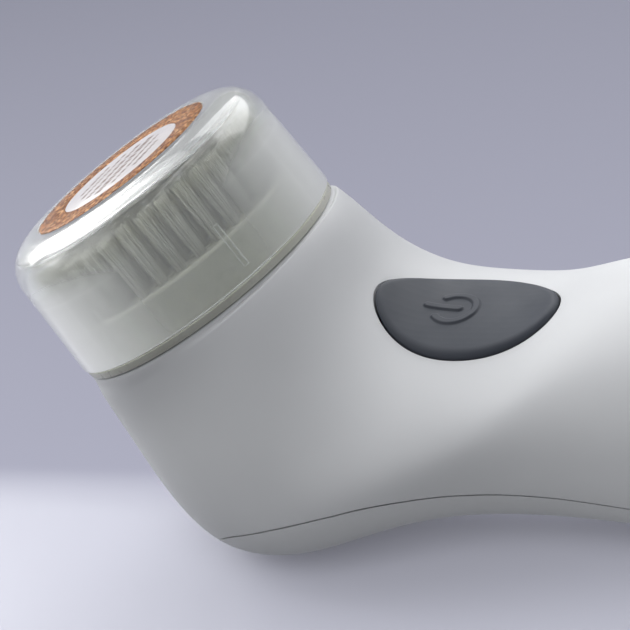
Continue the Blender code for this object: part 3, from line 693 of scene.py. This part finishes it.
def cap_shell(mat):
    """The clear cap, with grip ribs inside."""
    floor_z = CAP_TOP - LABEL_SUNK
    outer = [(AXIS_R, floor_z), (LABEL_R + 0.15, floor_z), (LABEL_R + 0.25, CAP_TOP - 0.05)]
    outer += cap_corner(CAP_SHOULDER_R, 0.0, 18)
    drop_r = CAP_R - CAP_SHOULDER_R
    outer += [(CAP_SHOULDER_R + drop_r * t, CORNER_Z * (1 - t)) for t in (0.3, 0.6, 0.8, 0.97)]
    lip = [(CAP_R - 0.03, 0.15), (CAP_R - 0.2, 0.0), (CAP_R - 1.1, 0.0), (CAP_R - 1.28, 0.15)]
    inner = [(CAP_R - CAP_WALL - drop_r * t, CORNER_Z * t) for t in (0.05, 0.3, 0.6, 0.85)]
    corner = cap_corner(CAP_SHOULDER_R - CAP_WALL, CAP_CEILING, 19)[::-1]
    r, z = corner[9]
    inner += corner[:9] + [(r + 0.22, z - 0.12), (r + 0.42, z + 0.42), (r - 0.12, z + 0.22)] + corner[10:]
    profile = outer + lip + inner + [(AXIS_R, CAP_TOP - CAP_CEILING)]
    cap = turned("cap_shell", profile, 192, mat)
    ribs = []
    for k in range(6):
        a = math.tau * (k + 0.5) / 6
        radial = np.array((math.cos(a), math.sin(a)))
        side = np.array((-math.sin(a), math.cos(a)))
        ring = [radial * r + side * w for r, w in RIB]
        layers = [[(p[0], p[1], z) for p in ring] for z in (RIB_TOP, RIB_FOOT)]
        points, faces = skin(np.array(layers) * MM)
        rib = link_mesh("rib", points, faces, mat, False)
        rib.data.transform(HEAD)
        ribs.append(rib)
        boolean(cap, outward(rib), "UNION")
    finished(cap)
    drop(*ribs)
    cap.data.set_sharp_from_angle(angle=SHARP)
    return cap


cap = cap_shell(cap_clear())
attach(cap, "cap")
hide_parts("clear_cap")

low = CAP_TOP - 0.32
film_inner = LABEL_INNER_R + 0.05
film_profile = [(LABEL_R, CAP_TOP), (LABEL_R, low), (film_inner, low), (film_inner, CAP_TOP)]
film = turned("label_film", rounded(film_profile, 0.06, 2), 192, copper_glitter())
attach(film, "cap")
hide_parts("cap_label_ring")
rim = LABEL_INNER_R - 0.05
centre_profile = [
    (AXIS_R, CAP_TOP), (LABEL_INNER_R - 0.15, CAP_TOP), (rim, CAP_TOP - 0.06), (rim, low), (AXIS_R, low),
]
centre = turned("label_centre", centre_profile, 160, label_paper())
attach(centre, "cap")
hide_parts("cap_label_centre")


def marks():
    """Generic print on the label: rows of plain dashes in place of any wording."""
    points = []
    faces = []
    rows = [  # (place, half length, height)
        (-6.4, 3.6, 1.0), (-3.9, 7.0, 0.8), (-1.2, 8.4, 1.5),
        (1.5, 8.0, 1.1), (4.1, 6.6, 0.8), (6.4, 4.2, 0.8),
    ]
    for y, reach, tall in rows:
        x = -reach
        while x < reach:
            wide = random.uniform(0.5, 1.6)
            end = min(x + wide, reach)
            base = len(points)
            near = y - tall / 2
            far = y + tall / 2
            for z in (CAP_TOP - 0.02, CAP_TOP + 0.015):
                points += [(x, near, z), (end, near, z), (end, far, z), (x, far, z)]
            faces += [(base + 3, base + 2, base + 1, base), (base + 4, base + 5, base + 6, base + 7)]
            faces += [(base + k, base + (k + 1) % 4, base + 4 + (k + 1) % 4, base + 4 + k) for k in range(4)]
            x = end + random.uniform(0.35, 0.7)
    ink = plain("mark_ink", (0.26, 0.2, 0.18), 0.5)
    obj = link_mesh("label_marks", np.array(points) * MM, faces, ink, False)
    obj.data.transform(HEAD @ Matrix.Rotation(math.radians(90.0), 4, "Z"))
    return obj


print_marks = marks()
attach(print_marks, "cap")

# ------------------------------------------------------------------ brush head
ring_profile = rounded([
    (21.6, BRUSH_FACE), (21.9, BRUSH_FACE - 0.5), (21.9, -0.15), (24.1, -0.15), (24.1, -1.38),
    (19.3, -1.38), (19.3, 3.4), (15.0, 3.4), (15.0, BRUSH_FACE)], 0.18, 3)
ring = turned("brush_ring", ring_profile, 160, ring_green())
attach(ring, "brush_ring")
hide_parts("brush_outer_ring")


GOLDEN_ANGLE = 2.39996


def filaments(name, rows, top, mat, per_tuft, thick):
    """Real bristles: each tuft is a bundle of thin bent rods that spreads a little to its tip."""
    sides = 5
    levels = 4
    points = []
    faces = []
    for radius, count in rows:
        for k in range(count):
            turn = math.tau * k / count
            cx = radius * math.cos(turn)
            cy = radius * math.sin(turn)
            for j in range(per_tuft):
                spread = 0.82 * math.sqrt((j + 0.5) / per_tuft)
                around = j * GOLDEN_ANGLE + k
                ox = spread * math.cos(around)
                oy = spread * math.sin(around)
                flare = random.uniform(1.25, 1.75)
                lean_x = random.uniform(-0.14, 0.14)
                lean_y = random.uniform(-0.14, 0.14)
                tip = top - random.uniform(0.0, 0.5)
                base = len(points)
                for level in range(levels):
                    t = level / (levels - 1)
                    z = BRUSH_FACE + (tip - BRUSH_FACE) * t
                    g = 1.0 + (flare - 1.0) * t
                    x = cx + ox * g + lean_x * t * t
                    y = cy + oy * g + lean_y * t * t
                    r = thick * (1.0 if level < levels - 1 else 0.62)
                    for n in range(sides):
                        a = math.tau * n / sides
                        points.append((x + r * math.cos(a), y + r * math.sin(a), z))
                for level in range(levels - 1):
                    for n in range(sides):
                        m = (n + 1) % sides
                        a = base + level * sides
                        faces.append((a + n, a + m, a + sides + m, a + sides + n))
                faces.append(tuple(base + n for n in reversed(range(sides))))
                faces.append(tuple(base + (levels - 1) * sides + n for n in range(sides)))
    obj = link_mesh(name, np.array(points) * MM, faces, mat)
    obj.data.transform(HEAD)
    obj.data.set_sharp_from_angle(angle=math.radians(60))
    return obj


outer_look = bristle("bristle_outer", (0.56, 0.56, 0.50), (0.70, 0.69, 0.63))
outer = filaments("outer_tufts", [(16.75, 30), (19.85, 36)], OUTER_TOP, outer_look, 22, 0.15)
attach(outer, "brush_ring")
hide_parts("outer_bristles")
inner_look = bristle("bristle_inner", (0.64, 0.64, 0.60), (0.76, 0.75, 0.71))
inner_rows = [(0.0, 1), (3.3, 6), (6.5, 12), (9.7, 18), (12.9, 24)]
inner = filaments("inner_tufts", inner_rows, INNER_TOP, inner_look, 16, 0.16)
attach(inner, "brush_disc")
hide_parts("inner_bristles")

# ------------------------------------------------------------------ looks of the CAD nodes
STEEL = plain("steel_plate", (0.55, 0.56, 0.58), 0.28, Metallic=1.0)
DARK = plain("dark_plastic", (0.07, 0.072, 0.08), 0.5)
LOOKS = {
    "head_bezel": plain("bezel_white", (0.74, 0.75, 0.76), 0.36),
    "head_seal_ring": plain("seal_black", (0.02, 0.02, 0.022), 0.7),
    "cover_gasket": plain("gasket_black", (0.018, 0.018, 0.02), 0.75),
    "drive_boot": plain("boot_black", (0.03, 0.03, 0.032), 0.72),
    "brush_inner_disc": plain("disc_white", (0.76, 0.77, 0.75), 0.4),
    "drive_hub": plain("hub_grey", (0.62, 0.63, 0.65), 0.38),
    "motor_bracket": DARK,
    "chassis": DARK,
    "switch_body": plain("switch_black", (0.03, 0.03, 0.033), 0.45),
    "switch_plunger": plain("plunger_black", (0.02, 0.02, 0.02), 0.4),
    "controller_chip": plain("chip_black", (0.02, 0.02, 0.022), 0.4),
    "charge_driver": plain("driver_black", (0.022, 0.022, 0.024), 0.4),
    "flexure_plate": STEEL,
    "motor_screw_1": STEEL, "motor_screw_2": STEEL, "motor_screw_3": STEEL,
    "chassis_screw_1": STEEL, "chassis_screw_2": STEEL,
    "armature": plain("armature_steel", (0.4, 0.41, 0.43), 0.35, Metallic=1.0),
    "magnet_left": plain("magnet_nickel", (0.62, 0.61, 0.58), 0.2, Metallic=1.0),
    "magnet_right": plain("magnet_nickel_2", (0.62, 0.61, 0.58), 0.2, Metallic=1.0),
    "stator_core": plain("core_iron", (0.2, 0.2, 0.21), 0.45, Metallic=0.9),
    "coil_bobbin": plain("bobbin_nylon", (0.75, 0.72, 0.6), 0.5),
    "coil_winding": wound_copper("coil_copper", 700.0),
    "charging_coil": wound_copper("charge_copper", 900.0),
    "charging_ferrite": plain("ferrite", (0.05, 0.05, 0.055), 0.6),
    "battery_cell": plain("cell_wrap", (0.02, 0.12, 0.35), 0.35),
    "battery_tab_negative": STEEL, "battery_tab_positive": STEEL,
    "circuit_board": plain("board_green", (0.01, 0.14, 0.06), 0.35),
    "capacitor": plain("capacitor_can", (0.5, 0.52, 0.55), 0.3, Metallic=1.0),
    "button_backing": plain("backing_white", (0.66, 0.67, 0.68), 0.42),
    "motor_lead_1": plain("lead_red", (0.5, 0.03, 0.02), 0.45),
    "motor_lead_2": plain("lead_black", (0.02, 0.02, 0.02), 0.45),
}
for node, look in LOOKS.items():
    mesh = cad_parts[node].data
    mesh.materials.clear()
    mesh.materials.append(look)

# ------------------------------------------------------------------ stage, camera, light
# The camera's axes and its distance from the head, solved once from the object's own circles and outlines.
RIGHT = Vector((0.83629, 0.43488, -0.33391))
UP = Vector((0.02567, 0.57728, 0.81614))
BACK = Vector((0.54768, -0.69110, 0.47161))
OFFSET = Vector((-17.527, 6.862, -315.482)) * MM  # head frame seen from the camera, in its own axes
VIEW_SLOPE = 0.315  # width of the view over its distance
HEAD_SPOT = Vector((HEAD_X * MM, 0.0, HEAD_Z * MM))
EYE = HEAD_SPOT - (RIGHT * OFFSET.x + UP * OFFSET.y + BACK * OFFSET.z)

camera = bpy.data.cameras.new("camera")
camera.sensor_width = 36.0
camera.lens = camera.sensor_width / VIEW_SLOPE
camera.clip_start = 0.01
camera.clip_end = 50.0
eye = bpy.data.objects.new("camera", camera)
rotation = Matrix((RIGHT, UP, BACK)).transposed().to_4x4()
eye.matrix_world = Matrix.Translation(EYE) @ rotation
bpy.context.scene.collection.objects.link(eye)
bpy.context.scene.camera = eye


def floor():
    """A plain pale floor, lighter and glossier in front of the object, matt behind it; it has a painted glow
    (emission), faint in front and grey behind the object in place of a lit backdrop.

    It sends no light back up and throws no shadow, so that the underside stays as dark as in the photo.
    """
    n = Nodes("floor_pale", (0.6, 0.6, 0.7), 0.2)
    split = n.node("ShaderNodeSeparateXYZ")
    n.link(n.coords, split.inputs["Vector"])
    depth = n.span(split.outputs["Y"], 0.0, 1.0, -0.2, 0.24)
    near = n.span(split.outputs["Y"], 0.0, 1.0, -0.004, 0.006)
    pale = (0.38, 0.385, 0.44)
    dim = (0.07, 0.07, 0.084)
    tone = [(0.22, (0.14, 0.14, 0.16)), (0.34, pale), (0.44, pale), (0.465, (0.05, 0.05, 0.06))]
    # Painted glow: the floor's emission, faint in the pale strip and grey behind the object, stands in for a
    # lit backdrop.
    glow = [
        (0.22, (0.05, 0.05, 0.06)), (0.34, dim), (0.44, dim), (0.465, (0.34, 0.345, 0.43)),
        (1.0, (0.20, 0.205, 0.257)),
    ]
    n.colour_from(depth, tone)
    n.link(n.ramp(depth, glow), n.shader.inputs["Emission Color"])
    n.shader.inputs["Emission Strength"].default_value = 1.0
    n.link(n.span(near, 0.45, 0.05), n.shader.inputs["Specular IOR Level"])
    grain = n.span(n.noise(220.0, 2.0), -0.02, 0.02, 0.3, 0.7)
    gloss = n.node("ShaderNodeMath", operation="ADD")
    n.link(n.span(near, 0.32, 0.8), gloss.inputs[0])
    n.link(grain, gloss.inputs[1])
    n.link(gloss.outputs[0], n.shader.inputs["Roughness"])
    reach = 40.0
    points = [(-reach, -reach, 0), (reach, -reach, 0), (reach, reach, 0), (-reach, reach, 0)]
    obj = link_mesh("floor", points, [(0, 1, 2, 3)], n.mat, False)
    obj.visible_diffuse = False
    obj.visible_shadow = False
    return obj


def lamp(name, place, target, size, power, shine=1.0, only=None):
    """A soft area lamp of (width, height) in metres aimed at a point, kept to some objects if asked."""
    light = bpy.data.lights.new(name, "AREA")
    light.specular_factor = shine
    light.energy = power
    light.shape = "RECTANGLE"
    light.size, light.size_y = size
    obj = bpy.data.objects.new(name, light)
    obj.location = place
    obj.rotation_euler = (Vector(target) - Vector(place)).to_track_quat("-Z", "Y").to_euler()
    bpy.context.scene.collection.objects.link(obj)
    if only:
        lit = bpy.data.collections.new(name)
        for piece in only:
            lit.objects.link(piece)
        obj.light_linking.receiver_collection = lit
        obj.visible_glossy = False


ground = floor()
AIM = HEAD_SPOT + RIGHT * 0.03
# Each has its (width, height), power and shine. The last four light only the pieces named.
lamp("key", AIM + UP * 0.62 - BACK * 0.18 + RIGHT * 0.14, AIM, (0.8, 0.5), 2.8, 0.8)
lamp("top", (-0.33, 0.1, 0.65), (0.0, 0.0, 0.02), (0.45, 0.7), 1.9, 0.35)
lamp("strip", AIM + UP * 0.5 + BACK * 0.34 - RIGHT * 0.05, AIM, (1.2, 0.05), 0.5)
lamp("side", AIM - RIGHT * 0.62 + UP * 0.2 + BACK * 0.02, AIM, (0.3, 0.6), 1.3)
lamp("rear", (-1.05, 0.34, 0.42), AIM, (0.6, 0.6), 4.4, 0.5)
lamp("bounce", (0.15, -0.15, 0.012), (0.01, 0.0, 0.015), (0.12, 0.02), 0.06, 0.1, [housing, cover])
lamp("haze", AIM - RIGHT * 0.6 - UP * 0.05 + BACK * 0.35, AIM, (0.5, 0.5), 1.5, 0.1, [cap])
lamp("table", (0.15, -0.25, 0.25), (0.0, -0.02, 0.0), (0.25, 0.25), 1.25, only=[ground])
lamp("table_rear", (-0.03, 0.6, 0.69), (-0.02, -0.05, 0.0), (0.4, 0.4), 1.2, only=[ground])


def sky():
    """A soft grey studio: dark below, lightest just under the horizon, grey above."""
    world = bpy.data.worlds.new("studio")
    world.use_nodes = True
    nodes = world.node_tree.nodes
    link = world.node_tree.links.new
    way = nodes.new("ShaderNodeTexCoord")
    parts = nodes.new("ShaderNodeSeparateXYZ")
    height = nodes.new("ShaderNodeMapRange")
    height.inputs["From Min"].default_value = -1.0
    grade = nodes.new("ShaderNodeValToRGB")
    fill_ramp(grade.color_ramp, [
        (0.0, (0.01, 0.011, 0.012)), (0.2, (0.02, 0.021, 0.022)), (0.35, (0.17, 0.174, 0.178)),
        (0.45, (0.46, 0.47, 0.478)), (0.5, (0.58, 0.59, 0.6)), (0.52, (0.18, 0.183, 0.2)),
    ])
    link(way.outputs["Generated"], parts.inputs["Vector"])
    link(parts.outputs["Z"], height.inputs["Value"])
    link(height.outputs["Result"], grade.inputs["Fac"])
    link(grade.outputs["Color"], nodes["Background"].inputs["Color"])
    return world


bpy.context.scene.world = sky()
bpy.context.scene.view_settings.view_transform = "Standard"
